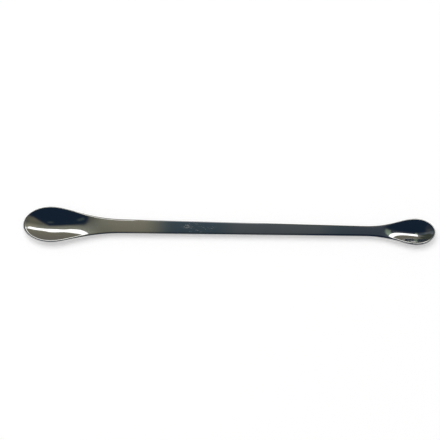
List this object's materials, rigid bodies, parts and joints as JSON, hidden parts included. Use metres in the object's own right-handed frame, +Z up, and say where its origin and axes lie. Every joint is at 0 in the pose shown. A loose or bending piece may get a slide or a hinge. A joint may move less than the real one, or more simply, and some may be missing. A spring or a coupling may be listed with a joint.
{
  "type": "double-ended lab spoon",
  "caption": "Polished steel lab spatula with a spoon bowl at each end of a flat tapering handle, for scooping powders.",
  "frame": {"origin": "below the middle of the spoon's length, on the surface that the bowls' undersides lie on", "axes": "+X along the spoon from the large bowl to the small bowl, +Y across it, +Z up out of the bowls"},
  "size_m": [0.15, 0.014, 0.0035],
  "materials": {
    "polished_steel": "polished stainless steel with fine lengthwise polishing marks"
  },
  "bodies": {
    "root": {"double_spoon": "polished_steel"}
  },
  "joints": []
}
